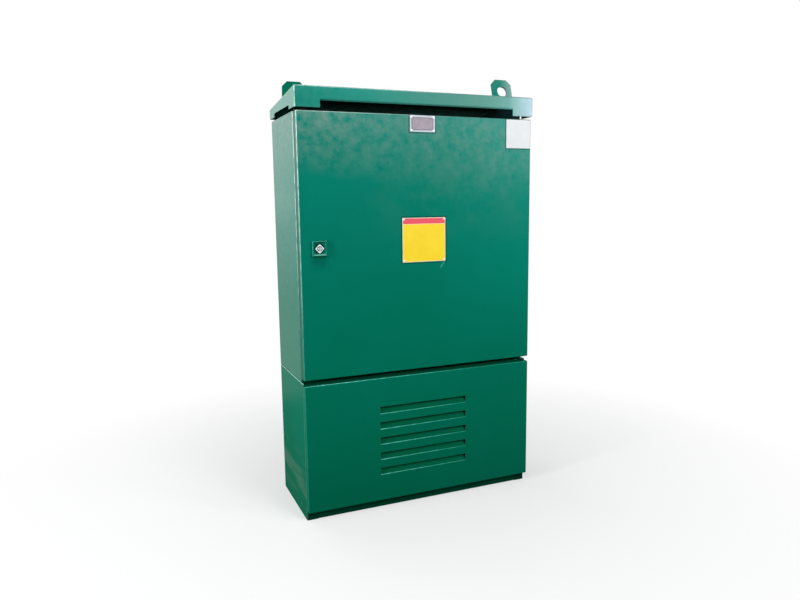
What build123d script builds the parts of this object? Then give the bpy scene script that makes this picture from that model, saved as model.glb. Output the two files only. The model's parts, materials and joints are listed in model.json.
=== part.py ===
"""Roadside distribution cabinet: folded sheet body on a base, hinged door and ventilated roof."""
import math
import os

from build123d import *

# Lengths are in millimetres. +X is right, the front faces -Y and +Z is up.
# The origin lies on the floor plane at the centre of the footprint.

# Overall sizes
width = 800.0
depth = 320.0
sheet = 2.0
wrap_bend = 4.0
pan_bend = 3.0
overrun = 5.0

# Heights
base_height = 445.0
body_height = 817.0
seam = 2.5
door_clear_bottom = 12.0
door_clear_top = 1.0
cover_clear_bottom = 30.0
cover_clear_top = 5.0
roof_gap = 8.0
roof_front_rise = 62.0
roof_back_rise = 32.0

# Setbacks from the face of the door
body_setback = 38.0
base_setback = 20.0
door_gap = 5.0
cover_gap = 3.0
roof_overhang = 4.0

# Door opening
flange = 36.0
lip = 17.0
sill = 38.0
top_flange = 22.0
top_chamfer = 3.0
vent_length = 60.0
vent_width = 8.0
vent_pitch = 76.0
vent_row_inset = 60.0
vents_per_row = 6

# Frames of angle
frame_leg = 40.0
frame_rise = 30.0
foot_rise = 50.0
foot_leg = 60.0
frame_sheet = 3.0
frame_chamfer = 4.0
anchor_inset = 20.0
anchor_radius = 7.0

# Bolts of the seam
bolt_radius = 4.0
bolt_hole_radius = 4.5
bolt_across = 13.0
bolt_head = 5.3
nut_height = 6.5
join_pitch = 250.0

# Base cover
louvre_width = 310.0
louvre_height = 25.0
louvre_pitch = 51.0
louvre_drop = 95.0
louvre_count = 5
louvre_bend = 2.0
flap_length = 22.5
flap_lean = 40.0
bend_shares = (0.0, 0.5, 1.0)
stud_inset = 18.0
stud_rise = 50.0
collar_radius = 8.0
stud_reach = 18.0

# Roof
front_tab = 77.0
front_slot_height = 20.0
side_tab = 66.0
side_slot_height = 12.0
roof_bend = 4.0
support_from_side = 26.0
support_width = 20.0
support_inset = 20.0
support_bolt_inset = 30.0

# Lifting eyes
eye_from_right = 60.0
eye_from_front = 76.0
eye_from_left = 64.0
eye_from_back = 46.0
eye_width = 75.0
eye_reach = 80.0
eye_chamfer = 16.0
eye_hole_radius = 18.0
eye_hole_drop = 42.0
eye_plate = 6.0
eye_foot = 46.0
eye_lean = 16.0
eye_bolt_x = 20.0
eye_bolt_y = 28.0
washer_radius = 9.0
washer_height = 1.6

# Hinges
hinge_inset = 9.0
hinge_margin = 110.0
pin_radius = 3.0
pin_clearance = 0.05
pin_head_radius = 5.0
pin_head = 3.0
pin_end = 3.0
knuckle_radius = 5.5
knuckle_height = 20.0
knuckle_gap = 0.3
hinge_plate = 6.0
hinge_reach = 20.5
hinge_arm = 5.0
hinge_arm_front = 4.5
hinge_web_extra = 10.0
leaf_plate = 3.0
leaf_left = 17.0
leaf_right = 6.0

# Door fittings
seal_width = 12.0
seal_gap = 0.3
stiffener_x = 140.0
stiffener_width = 44.0
stiffener_depth = 15.0
stiffener_margin = 60.0

# Lock
lock_from_edge = 59.0
lock_size = 46.0
lock_proud = 8.0
lock_chamfer = 2.0
dish_size = 40.0
dish_depth = 5.0
dish_taper = 35.0
recess_radius = 15.5
recess_depth = 2.0
barrel_radius = 11.0
barrel_clearance = 0.4
lock_nut_across = 26.0
lock_nut_height = 6.0
core_radius = 7.0
core_head_side = 21.0
core_head_bend = 3.5
core_head_turn = 45.0
core_head = 4.5
core_gap = 0.3
plug_radius = 6.0
plug_proud = 1.2
keyway_width = 2.6
keyway_height = 8.0
keyway_depth = 4.0
neck_radius = 5.0
fit_clearance = 0.05
cam_gap = 1.5
cam_plate = 3.0
cam_engagement = 16.0
cam_width = 20.0
barrel_gap = 0.5
cam_screw_radius = 2.5
cam_screw_across = 10.0
cam_screw_head = 4.0
cam_screw_depth = 12.0

# Plates on the door
sign_width = 150.0
sign_height = 140.0
sign_x = 5.0
sign_rise = 16.0
name_width = 86.0
name_height = 50.0
name_x = 2.0
name_drop = 26.5
plate_sheet = 1.0
label_width = 92.0
label_height = 92.0
label_margin = 2.5
label_sheet = 0.5
rivet_radius = 3.2
rivet_head = 1.2
rivet_bend = 0.9
rivet_inset = 5.0

# Fuse gear
channel_from_side = 68.0
channel_width = 40.0
channel_depth = 30.0
channel_clear = 5.0
channel_margin = 38.0
insulator_radius = 17.0
insulator_length = 35.0
busbar_end_gap = 43.0
busbar_height = 40.0
busbar_thickness = 10.0
busbar_rise = 205.0
busbar_pitch = 185.0
rail_count = 5
rail_clear = 70.0
rail_width_share = 0.77
pocket_width_share = 0.8
rail_depth = 60.0
rail_foot = 20.0
rail_head = 27.0
pocket_depth = 40.0
pocket_from_busbar = 20.0
pocket_height = 130.0
well_radius = 12.0
well_floor = 13.0
rail_bolt_radius = 5.0
rail_bolt_hole = 5.5
rail_bolt_across = 17.0
rail_bolt_head = 6.4
rail_nut = 8.0
contact_width = 24.0
contact_height = 30.0
contact_depth = 30.0
contact_slot_depth = 28.0
blade_thickness = 6.0
blade_clearance = 0.1
blade_length = 28.0
fuse_width_share = 0.7
fuse_height = 66.0
fuse_depth = 52.0
fuse_chamfer = 2.0
neutral_rise = 30.0
earth_drop = 45.0
earth_end_gap = 100.0
earth_height = 30.0
earth_thickness = 6.0
earth_spacer_inset = 50.0
earth_spacer_radius = 10.0
earth_spacer_length = 12.0
clamp_drop = 75.0
clamp_height = 40.0
clamp_depth = 22.0
clamp_from_wall = 96.0
clamp_slot = 16.0
clamp_sheet = 2.5

# Places that follow from the sizes
half = width / 2
inside = half - sheet
opening = half - flange
clear_opening = opening - sheet
y_front = -depth / 2
y_back = depth / 2
y_wall = y_back - sheet
y_skin = y_front + sheet
y_body = y_front + body_setback
y_base = y_front + base_setback
y_lip = y_body - lip
y_return = y_body - door_gap
y_cover_return = y_base - cover_gap
z_body = base_height + seam
body_top = base_height + body_height
door_bottom = base_height + door_clear_bottom
door_top = body_top - door_clear_top
cover_bottom = cover_clear_bottom
cover_top = base_height - cover_clear_top
roof_bottom = body_top + roof_gap
roof_front_top = roof_bottom + roof_front_rise
roof_back_top = roof_bottom + roof_back_rise
lip_bottom = z_body + sill - sheet
lip_top = body_top - sill + sheet
roof_half = half + roof_overhang
y_roof_front = y_front - roof_overhang
y_roof_back = y_back + roof_overhang
roof_slope = (roof_front_top - roof_back_top) / (y_roof_back - y_roof_front)
roof_fall = math.degrees(math.atan(roof_slope))
front_slot = roof_half - front_tab
side_slot = y_roof_back - side_tab
support_outer = half + support_width - support_from_side
support_inner = support_outer - support_width
support_front = y_body + support_inset
support_back = y_back - support_inset
anchor_x = inside - foot_leg / 2
anchor_y = -(y_base + sheet + anchor_inset)
axis_x = half - hinge_inset
axis_y = y_return - hinge_inset
lock_x = lock_from_edge - half
lock_z = (door_bottom + door_top) / 2
hinge_lower = door_bottom + hinge_margin
hinge_upper = door_top - hinge_margin - knuckle_height * 2
cam_front = y_body + sheet + cam_gap
cam_length = lock_from_edge - flange + cam_engagement
recess_floor = y_front - lock_proud + dish_depth + recess_depth
join_front = (y_body + y_base + frame_leg) / 2 + sheet
join_back = y_wall - frame_leg / 2
join_side = inside - frame_leg / 2
channel_x = inside - channel_from_side
rail_pitch = (channel_x - rail_clear) * 2 / (rail_count - 1)
rail_width = rail_pitch * rail_width_share
pocket_width = rail_width * pocket_width_share
fuse_width = pocket_width * fuse_width_share
neutral_bolt_count = rail_count * 2 - 1
neutral_bolt_pitch = rail_pitch / 2
earth_side = half - earth_end_gap
earth_spacer_x = earth_side - earth_spacer_inset
channel_bottom = base_height + frame_rise + channel_clear
neutral_level = channel_bottom + neutral_rise
busbar_levels = [neutral_level + busbar_rise + i * busbar_pitch for i in range(3)]
rail_bottom = busbar_levels[0] - pocket_from_busbar - pocket_height - rail_foot
rail_top = busbar_levels[-1] + rail_head
channel_top = rail_top + channel_margin
earth_level = base_height - earth_drop
clamp_top = base_height - clamp_drop
clamp_front = y_wall - clamp_from_wall - clamp_depth
busbar_back = y_wall - channel_depth - insulator_length
busbar_front = busbar_back - busbar_thickness
rail_front = busbar_front - rail_depth
pocket_floor = rail_front + pocket_depth
way = {"x": Rot(0, 90, 0), "y": Rot(-90, 0, 0), "z": Rot(0, 0, 0)}
from_base = (Align.CENTER, Align.CENTER, Align.MIN)


def block(x0, x1, y0, y1, z0, z1):
    """Box between two corners."""
    return Pos((x0 + x1) / 2, (y0 + y1) / 2, (z0 + z1) / 2) * Box(x1 - x0, y1 - y0, z1 - z0)


def rod(x, y, z, radius, length, along):
    """Cylinder that starts at a point and runs along a positive axis."""
    return Pos(x, y, z) * way[along] * Cylinder(radius, length, align=from_base)


def hexagon(x, y, z, across, length, along):
    """Six-sided prism that starts at a point and runs along a positive axis."""
    face = RegularPolygon(across / 2, 6, major_radius=False)
    return Pos(x, y, z) * way[along] * extrude(face, length)


def rectangle(x0, x1, y0, y1):
    """Flat rectangle in plan."""
    return Pos((x0 + x1) / 2, (y0 + y1) / 2) * Rectangle(x1 - x0, y1 - y0)


def raised(sketch, z0, z1):
    """Plan outline raised between two levels."""
    return Pos(0, 0, z0) * extrude(sketch, z1 - z0)


def side_prism(points, x0, x1):
    """Outline in the side view, drawn out across the width."""
    face = Plane.YZ * make_face(Polyline(*points, close=True))
    return Pos(x0, 0, 0) * extrude(face, x1 - x0)


def wrap_outline(y0):
    """Plan of a folded wrap: two sides, back and front flanges."""
    outer = fillet(rectangle(-half, half, y0, y_back).vertices(), wrap_bend)
    inner = fillet(rectangle(-inside, inside, y0 + sheet, y_wall).vertices(), wrap_bend - sheet)
    return outer - inner - rectangle(-opening, opening, y0 - overrun, y0 + wrap_bend)


def stud_places():
    """Places of the studs that hold the base cover."""
    levels = (cover_bottom + stud_rise, cover_top - stud_rise)
    return [(side * (half - stud_inset), z) for side in (-1, 1) for z in levels]


def join_places():
    """Plan places of the bolts between base and body."""
    rows = [(i * join_pitch, y) for i in (-1, 0, 1) for y in (join_front, join_back)]
    return rows + [(side * join_side, (y_body + y_back) / 2) for side in (-1, 1)]


def body_wrap():
    """Upper body: sides, back, front flanges and the lip that meets the door seal."""
    wrap = raised(wrap_outline(y_body), z_body, body_top)
    for side in (-1, 1):
        edge = sorted((side * clear_opening, side * opening))
        wrap += block(edge[0], edge[1], y_lip, y_body + sheet, lip_bottom, lip_top)
    return wrap


def cross_rail(z0, z1, lip_level):
    """Rail across the door opening with its forward lip."""
    rail = block(-clear_opening, clear_opening, y_body, y_body + sheet, z0, z1)
    return rail + block(-clear_opening, clear_opening, y_lip, y_body, lip_level, lip_level + sheet)


def body_top_sheet():
    """Flat top of the body with turned-down edges and vent slots."""
    tray = block(-inside, inside, y_body + sheet, y_wall, body_top - top_flange, body_top)
    tray = chamfer(tray.edges().filter_by(Axis.Z), top_chamfer)
    tray -= block(
        sheet - inside,
        inside - sheet,
        y_body + sheet + sheet,
        y_wall - sheet,
        body_top - top_flange - overrun,
        body_top - sheet,
    )
    first = -vent_pitch * (vents_per_row - 1) / 2
    low = body_top - sheet - overrun
    through = sheet + overrun * 2
    slot = extrude(SlotOverall(vent_length, vent_width), through)
    for y in (y_body + vent_row_inset, y_back - vent_row_inset):
        for i in range(vents_per_row):
            tray -= Pos(first + i * vent_pitch, y, low) * slot
    for x, y in roof_bolt_places():
        tray -= rod(x, y, low, bolt_hole_radius, through, "z")
    return tray


def angle_frame(y0, z0, z1, leg, flat_low):
    """Ring of angle that stiffens the end of a wrap."""
    outer = chamfer(rectangle(-inside, inside, y0, y_wall).vertices(), frame_chamfer)
    upright = outer - rectangle(
        frame_sheet - inside, inside - frame_sheet, y0 + frame_sheet, y_wall - frame_sheet
    )
    flat = outer - rectangle(leg - inside, inside - leg, y0 + leg, y_wall - leg)
    level = z0 if flat_low else z1 - frame_sheet
    return raised(upright, z0, z1) + raised(flat, level, level + frame_sheet)


def drilled(frame, places, radius, level):
    """Frame with holes through its flat leg."""
    for x, y in places:
        frame -= rod(x, y, level - frame_sheet, radius, frame_sheet * 3, "z")
    return frame


def body_bottom_frame():
    """Frame at the foot of the upper body."""
    frame = angle_frame(y_body + sheet, base_height, base_height + frame_rise, frame_leg, True)
    return drilled(frame, join_places(), bolt_hole_radius, base_height)


def base_top_frame():
    """Frame at the head of the base."""
    frame = angle_frame(y_base + sheet, base_height - frame_rise, base_height, frame_leg, False)
    return drilled(frame, join_places(), bolt_hole_radius, base_height - frame_sheet)


def base_bottom_frame():
    """Frame that stands on the floor, with the anchor holes."""
    frame = angle_frame(y_base + sheet, 0, foot_rise, foot_leg, True)
    places = [(i * anchor_x, j * anchor_y) for i in (-1, 1) for j in (-1, 1)]
    return drilled(frame, places, anchor_radius, 0)


def joining_bolts():
    """Bolts and nuts through both frames at the seam."""
    bolts = []
    low = base_height - frame_sheet
    high = base_height + frame_sheet
    for x, y in join_places():
        bolt = hexagon(x, y, high, bolt_across, bolt_head, "z")
        bolt += rod(x, y, low - nut_height - sheet, bolt_radius, high - low + nut_height + sheet, "z")
        bolt += hexagon(x, y, low - nut_height, bolt_across, nut_height, "z")
        bolts.append(bolt)
    return bolts


def base_wrap():
    """Base body: sides, back and front flanges with holes for the cover studs."""
    wrap = raised(wrap_outline(y_base), 0, base_height)
    for x, z in stud_places():
        wrap -= rod(x, y_base - overrun, z, bolt_hole_radius, sheet + overrun * 2, "y")
    return wrap


def pan(z0, z1, y_edge):
    """Folded front panel: face with returns on all four sides."""
    outer = block(-half, half, y_front, y_edge, z0, z1)
    face = outer.faces().sort_by(Axis.Y)[0]
    outer = fillet(face.edges() + outer.edges().filter_by(Axis.Y), pan_bend)
    return outer - block(-inside, inside, y_skin, y_edge + overrun, z0 + sheet, z1 - sheet)


def louvre_flap(z):
    """Flap of a louvre: a bend that starts at the lower edge of its slot, then a leaning strip."""
    turn = math.radians(flap_lean)
    outer = louvre_bend + sheet

    def bend(radius, share):
        angle = turn * share
        return y_front + outer - radius * math.cos(angle), z + radius * math.sin(angle)

    def tip(radius):
        y, level = bend(radius, 1)
        return y + flap_length * math.sin(turn), level + flap_length * math.cos(turn)

    outline = [ThreePointArc(*[bend(radius, i) for i in bend_shares]) for radius in (outer, louvre_bend)]
    outline.append(Line(bend(outer, 0), bend(louvre_bend, 0)))
    outline.append(Line(tip(outer), tip(louvre_bend)))
    for radius in (outer, louvre_bend):
        outline.append(Line(bend(radius, 1), tip(radius)))
    return Pos(-louvre_width / 2, 0, 0) * extrude(Plane.YZ * make_face(outline), louvre_width)


def base_cover():
    """Cover of the base with lanced louvres: each flap stays joined along its lower edge."""
    cover = pan(cover_bottom, cover_top, y_cover_return)
    side = louvre_width / 2
    first = cover_top - louvre_drop - louvre_height
    for i in range(louvre_count):
        z = first - i * louvre_pitch
        cover -= block(-side, side, y_front - overrun, y_skin + overrun, z, z + louvre_height)
        cover += louvre_flap(z)
    return cover


def cover_studs():
    """Collared studs on the back of the base cover."""
    studs = []
    for x, z in stud_places():
        stud = rod(x, y_skin, z, collar_radius, y_base - y_skin, "y")
        studs.append(stud + rod(x, y_base, z, bolt_radius, stud_reach, "y"))
    return studs


def cover_nuts():
    """Nuts on the studs, inside the base."""
    nuts = []
    for x, z in stud_places():
        nut = hexagon(x, y_base + sheet, z, bolt_across, nut_height, "y")
        nuts.append(nut - rod(x, y_base, z, bolt_radius + fit_clearance, stud_reach, "y"))
    return nuts


def roof_level(y):
    """Height of the roof's upper face at a depth."""
    return roof_front_top - (y - y_roof_front) * roof_slope


def on_roof(x, y, turn):
    """Place on the sloping roof, turned about its upright."""
    return Pos(x, y, roof_level(y)) * Rot(-roof_fall, 0, 0) * Rot(0, 0, turn)


def eye_places():
    """Front right and back left corner of the roof; both feet lie towards the middle."""
    front = (half - eye_from_right, y_front + eye_from_front, 0)
    return front, (eye_from_left - half, y_back - eye_from_back, 180)


def roof():
    """Folded hat that falls to the back, with its skirt cut away between the corner tabs."""
    rim = ((y_roof_front, roof_bottom), (y_roof_back, roof_bottom))
    outer = side_prism(
        rim + ((y_roof_back, roof_back_top), (y_roof_front, roof_front_top)), -roof_half, roof_half
    )
    low = outer.faces().sort_by(Axis.Z)[0].edges()
    outer = fillet([edge for edge in outer.edges() if edge not in low], roof_bend)
    front = y_roof_front + sheet
    back = y_roof_back - sheet
    hat = outer - side_prism(
        (
            (front, roof_bottom - overrun),
            (back, roof_bottom - overrun),
            (back, roof_level(back) - sheet),
            (front, roof_level(front) - sheet),
        ),
        sheet - roof_half,
        roof_half - sheet,
    )
    low = roof_bottom - overrun
    side_top = roof_bottom + side_slot_height
    hat -= block(
        -front_slot, front_slot, y_roof_front - overrun, 0, low, roof_bottom + front_slot_height
    )
    hat -= block(-roof_half - overrun, roof_half + overrun, -side_slot, side_slot, low, side_top)
    through = sheet + overrun * 2
    for place in eye_places():
        for side in (-1, 1):
            hole = rod(side * eye_bolt_x, eye_bolt_y, -sheet - overrun, bolt_hole_radius, through, "z")
            hat -= on_roof(*place) * hole
    return hat


def roof_bolt_places():
    """Plan places of the bolts that hold the roof supports."""
    x = support_inner + support_width / 2
    ends = (support_front + support_bolt_inset, support_back - support_bolt_inset)
    return [(side * x, y) for side in (-1, 1) for y in ends]


def roof_support(side):
    """Channel between the body top and the sloping roof, open to the middle."""
    ends = (support_front, support_back)
    cut = (support_front - overrun, support_back + overrun)
    top = [(y, roof_level(y) - sheet) for y in ends]
    under = [(y, roof_level(y) - sheet - sheet) for y in cut]
    outline = ((ends[0], body_top), (ends[1], body_top), top[1], top[0])
    hollow = ((cut[0], body_top + sheet), (cut[1], body_top + sheet), under[1], under[0])
    channel = side_prism(outline, support_inner, support_outer)
    channel -= side_prism(hollow, support_inner - overrun, support_outer - sheet)
    for x, y in roof_bolt_places():
        channel -= rod(abs(x), y, body_top - overrun, bolt_hole_radius, overrun + sheet * 2, "z")
    return channel if side > 0 else mirror(channel, about=Plane.YZ)


def roof_bolts():
    """Bolts from inside the body through its top into the roof supports."""
    bolts = []
    for x, y in roof_bolt_places():
        low = body_top - sheet
        bolt = hexagon(x, y, low - bolt_head, bolt_across, bolt_head, "z")
        bolt += rod(x, y, low, bolt_radius, sheet * 3 + nut_height, "z")
        bolts.append(bolt + hexagon(x, y, body_top + sheet, bolt_across, nut_height, "z"))
    return bolts


def lifting_eye(place):
    """Bent strap: a foot on the roof and a leaning plate with chamfered corners and a hole."""
    side = eye_width / 2
    plate = block(-side, side, 0, eye_plate, 0, eye_reach)
    top = plate.faces().sort_by(Axis.Z)[-1]
    plate = chamfer(top.edges().filter_by(Axis.Y), eye_chamfer)
    plate -= rod(0, -overrun, eye_reach - eye_hole_drop, eye_hole_radius, eye_plate + overrun * 2, "y")
    eye = Rot(roof_fall - eye_lean, 0, 0) * plate
    eye -= block(-eye_width, eye_width, -eye_width, eye_width, -eye_width, 0)
    foot = block(-side, side, 0, eye_foot, 0, eye_plate)
    for i in (-1, 1):
        foot -= rod(i * eye_bolt_x, eye_bolt_y, -overrun, bolt_hole_radius, eye_plate + overrun * 2, "z")
    return on_roof(*place) * (eye + foot)


def lifting_eye_bolts():
    """Bolts of the lifting eyes with washers and nuts under the roof."""
    bolts = []
    low = -sheet - washer_height
    end = low - nut_height - sheet
    for place in eye_places():
        for i in (-1, 1):
            hole = (i * eye_bolt_x, eye_bolt_y)
            bolt = hexagon(*hole, eye_plate, bolt_across, bolt_head, "z")
            bolt += rod(*hole, low, washer_radius, washer_height, "z")
            bolt += hexagon(*hole, low - nut_height, bolt_across, nut_height, "z")
            bolt += rod(*hole, end, bolt_radius, eye_plate - end, "z")
            bolts.append(on_roof(*place) * bolt)
    return bolts


def pin_bore(z):
    """Running hole for the pin through one knuckle."""
    return rod(axis_x, axis_y, z - overrun, pin_radius + pin_clearance, knuckle_height + overrun * 2, "z")


def hinge_bracket(z):
    """Fixed half of a hinge: web on the body flange, arm and eye round the pin."""
    x = axis_x - hinge_reach
    y = axis_y - hinge_arm_front
    high = z + knuckle_height
    bracket = block(x, x + hinge_plate, y, y_body, z - hinge_web_extra, high + hinge_web_extra)
    bracket += block(x, axis_x, y, y + hinge_arm, z, high)
    bracket += rod(axis_x, axis_y, z, knuckle_radius, knuckle_height, "z")
    return bracket - pin_bore(z)


def hinge_pin(z):
    """Headed pin that stands in the bracket."""
    length = knuckle_height * 2 + knuckle_gap + pin_end
    pin = rod(axis_x, axis_y, z, pin_radius, length, "z")
    return pin + rod(axis_x, axis_y, z - pin_head, pin_head_radius, pin_head, "z")


def hinge_leaf(z):
    """Door half of a hinge: plate on the door, arm and knuckle."""
    low = z + knuckle_height + knuckle_gap
    high = low + knuckle_height
    leaf = block(
        axis_x - leaf_left,
        axis_x + leaf_right,
        y_skin,
        y_skin + leaf_plate,
        low - hinge_web_extra,
        high + hinge_web_extra,
    )
    leaf += block(axis_x - hinge_plate / 2, axis_x + hinge_plate / 2, y_skin, axis_y, low, high)
    leaf += rod(axis_x, axis_y, low, knuckle_radius, knuckle_height, "z")
    return leaf - pin_bore(low)


def door_panel():
    """Door: folded pan with the hole of the lock."""
    door = pan(door_bottom, door_top, y_return)
    through = sheet + overrun * 2
    return door - rod(lock_x, y_front - overrun, lock_z, barrel_radius + barrel_clearance, through, "y")


def door_stiffener(x):
    """Channel inside the door, open to the door skin."""
    low = lip_bottom + stiffener_margin
    high = lip_top - stiffener_margin
    side = stiffener_width / 2
    bar = block(x - side, x + side, y_skin, y_skin + stiffener_depth, low, high)
    side -= sheet
    depth_inside = stiffener_depth - sheet
    return bar - block(
        x - side, x + side, y_skin - overrun, y_skin + depth_inside, low - overrun, high + overrun
    )


def door_seal():
    """Seal ring on the door, pressing on the lip of the opening."""
    x = clear_opening + sheet / 2
    low = lip_bottom + sheet / 2
    high = lip_top - sheet / 2
    grow = seal_width / 2
    end = y_lip - seal_gap
    ring = block(-x - grow, x + grow, y_skin, end, low - grow, high + grow)
    return ring - block(grow - x, x - grow, y_skin - overrun, end + overrun, low + grow, high - grow)


def lock_housing():
    """Dished square housing with a barrel through the door."""
    side = lock_size / 2
    outer = block(
        lock_x - side, lock_x + side, y_front - lock_proud, y_front, lock_z - side, lock_z + side
    )
    housing = chamfer(outer.faces().sort_by(Axis.Y)[0].edges(), lock_chamfer)
    mouth = Plane(origin=(lock_x, y_front - lock_proud, lock_z), x_dir=(1, 0, 0), z_dir=(0, 1, 0))
    housing -= extrude(mouth * Rectangle(dish_size, dish_size), dish_depth, taper=dish_taper)
    housing -= rod(lock_x, recess_floor - recess_depth, lock_z, recess_radius, recess_depth, "y")
    housing += rod(lock_x, y_front, lock_z, barrel_radius, cam_front - barrel_gap - y_front, "y")
    return housing - rod(lock_x, y_front - lock_size, lock_z, core_radius + fit_clearance, depth, "y")


def lock_nut():
    """Nut that holds the lock against the door skin."""
    nut = hexagon(lock_x, y_skin, lock_z, lock_nut_across, lock_nut_height, "y")
    return nut - rod(lock_x, y_front, lock_z, barrel_radius + fit_clearance, lock_size, "y")


def lock_core():
    """Turning core: a square head that stands on its corner, a raised plug with the keyway, a shaft."""
    seat = recess_floor - core_gap
    face = seat - core_head
    front = face - plug_proud
    head = fillet(Rectangle(core_head_side, core_head_side).vertices(), core_head_bend)
    head = extrude(Rot(0, 0, core_head_turn) * head, core_head)
    core = Pos(lock_x, face, lock_z) * way["y"] * head
    core += rod(lock_x, front, lock_z, plug_radius, plug_proud, "y")
    core += rod(lock_x, seat, lock_z, core_radius, cam_front - seat, "y")
    core += rod(lock_x, cam_front, lock_z, neck_radius, cam_plate, "y")
    core -= block(
        lock_x - keyway_width / 2,
        lock_x + keyway_width / 2,
        front - overrun,
        front + keyway_depth,
        lock_z - keyway_height / 2,
        lock_z + keyway_height / 2,
    )
    bore = cam_front + cam_plate - cam_screw_depth
    radius = cam_screw_radius + fit_clearance
    return core - rod(lock_x, bore, lock_z, radius, cam_screw_depth + overrun, "y")


def lock_cam():
    """Cam that hangs down when unlocked and turns behind the body flange."""
    side = cam_width / 2
    cam = block(
        lock_x - side, lock_x + side, cam_front, cam_front + cam_plate, lock_z - cam_length, lock_z + side
    )
    return cam - rod(lock_x, cam_front - overrun, lock_z, neck_radius + fit_clearance, overrun * 3, "y")


def cam_screw():
    """Screw that holds the cam on the core."""
    end = cam_front + cam_plate
    screw = hexagon(lock_x, end, lock_z, cam_screw_across, cam_screw_head, "y")
    return screw + rod(lock_x, end - cam_screw_depth, lock_z, cam_screw_radius, cam_screw_depth, "y")


def plate(x, z, wide, high, thick):
    """Thin plate on the face of the door."""
    return block(x - wide / 2, x + wide / 2, y_front - thick, y_front, z - high / 2, z + high / 2)


def rivets(x, z, wide, high):
    """Rivet heads in the corners of a plate."""
    heads = []
    y = y_front - plate_sheet - rivet_head
    for i in (-1, 1):
        for j in (-1, 1):
            place_x = x + i * (wide / 2 - rivet_inset)
            place_z = z + j * (high / 2 - rivet_inset)
            head = rod(place_x, y, place_z, rivet_radius, rivet_head, "y")
            heads.append(fillet(head.faces().sort_by(Axis.Y)[0].edges(), rivet_bend))
    return heads


def mounting_channel(side):
    """Upright channel on the back wall."""
    x = side * channel_x
    wide = channel_width / 2
    bar = block(x - wide, x + wide, y_wall - channel_depth, y_wall, channel_bottom, channel_top)
    wide -= sheet
    return bar - block(
        x - wide,
        x + wide,
        y_wall - channel_depth + sheet,
        y_wall + overrun,
        channel_bottom - overrun,
        channel_top + overrun,
    )


def insulators(levels):
    """Post insulators between the channels and the bars."""
    return [
        rod(side * channel_x, busbar_back, z, insulator_radius, insulator_length, "y")
        for side in (-1, 1)
        for z in levels
    ]


def rail_places():
    """Middle of each fuse rail across the width."""
    first = -rail_pitch * (rail_count - 1) / 2
    return [first + i * rail_pitch for i in range(rail_count)]


def neutral_places():
    """Places of the terminal bolts on the neutral bar."""
    first = -neutral_bolt_pitch * (neutral_bolt_count - 1) / 2
    return [first + i * neutral_bolt_pitch for i in range(neutral_bolt_count)]


def bar(z, places):
    """Flat bar on the insulators with bolt holes."""
    side = inside - busbar_end_gap
    flat = block(-side, side, busbar_front, busbar_back, z - busbar_height / 2, z + busbar_height / 2)
    for x in places:
        flat -= rod(x, busbar_front - overrun, z, rail_bolt_hole, busbar_thickness + overrun * 2, "y")
    return flat


def fuse_rail(x):
    """Three-pole fuse base: one pocket and one bolt well for each busbar."""
    side = rail_width / 2
    rail = block(x - side, x + side, rail_front, busbar_front, rail_bottom, rail_top)
    half_pocket = pocket_width / 2
    for z in busbar_levels:
        top = z - pocket_from_busbar
        rail -= block(
            x - half_pocket,
            x + half_pocket,
            rail_front - overrun,
            pocket_floor,
            top - pocket_height,
            top,
        )
        rail -= rod(x, rail_front - overrun, z, well_radius, rail_depth + overrun - well_floor, "y")
        rail -= rod(x, rail_front, z, rail_bolt_hole, rail_depth + overrun, "y")
    return rail


def fuse_rail_bolts():
    """Bolts that clamp the fuse rails to the busbars."""
    bolts = []
    seat = busbar_front - well_floor
    for x in rail_places():
        for z in busbar_levels:
            bolt = hexagon(x, seat - rail_bolt_head, z, rail_bolt_across, rail_bolt_head, "y")
            bolt += rod(x, seat, z, rail_bolt_radius, busbar_back - seat + rail_nut, "y")
            bolts.append(bolt + hexagon(x, busbar_back, z, rail_bolt_across, rail_nut, "y"))
    return bolts


def pocket_places():
    """Middle of each fuse pocket."""
    drop = pocket_from_busbar + pocket_height / 2
    return [(x, z - drop) for x in rail_places() for z in busbar_levels]


def fuse_contacts():
    """Forked contacts at both ends of each pocket."""
    contacts = []
    side = contact_width / 2
    slot = blade_thickness / 2 + blade_clearance
    front = pocket_floor - contact_depth
    for x, z in pocket_places():
        for end in (-1, 1):
            reach = sorted((z + end * pocket_height / 2, z + end * (pocket_height / 2 - contact_height)))
            fork = block(x - side, x + side, front, pocket_floor, reach[0], reach[1])
            fork -= block(
                x - slot,
                x + slot,
                front - overrun,
                front + contact_slot_depth,
                reach[0] - overrun,
                reach[1] + overrun,
            )
            contacts.append(fork)
    return contacts


def fuse_links():
    """Knife-blade fuse links pressed into the contacts."""
    links = []
    side = fuse_width / 2
    blade = blade_thickness / 2
    blade_back = pocket_floor - contact_depth + contact_slot_depth
    for x, z in pocket_places():
        rise = fuse_height / 2
        link = block(x - side, x + side, blade_back - fuse_depth, blade_back, z - rise, z + rise)
        link = chamfer(link.edges().filter_by(Axis.Z), fuse_chamfer)
        rise = fuse_height / 2 + blade_length
        link += block(x - blade, x + blade, blade_back - contact_slot_depth, blade_back, z - rise, z + rise)
        links.append(link)
    return links


def neutral_bolts():
    """Terminal bolts on the neutral bar."""
    bolts = []
    z = neutral_level
    for x in neutral_places():
        bolt = hexagon(x, busbar_front - rail_bolt_head, z, rail_bolt_across, rail_bolt_head, "y")
        bolt += rod(x, busbar_front, z, rail_bolt_radius, busbar_thickness + rail_nut, "y")
        bolts.append(bolt + hexagon(x, busbar_back, z, rail_bolt_across, rail_nut, "y"))
    return bolts


def earth_bar():
    """Earth bar on the back wall of the base."""
    back = y_wall - earth_spacer_length
    front = back - earth_thickness
    rise = earth_height / 2
    return block(-earth_side, earth_side, front, back, earth_level - rise, earth_level + rise)


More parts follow.
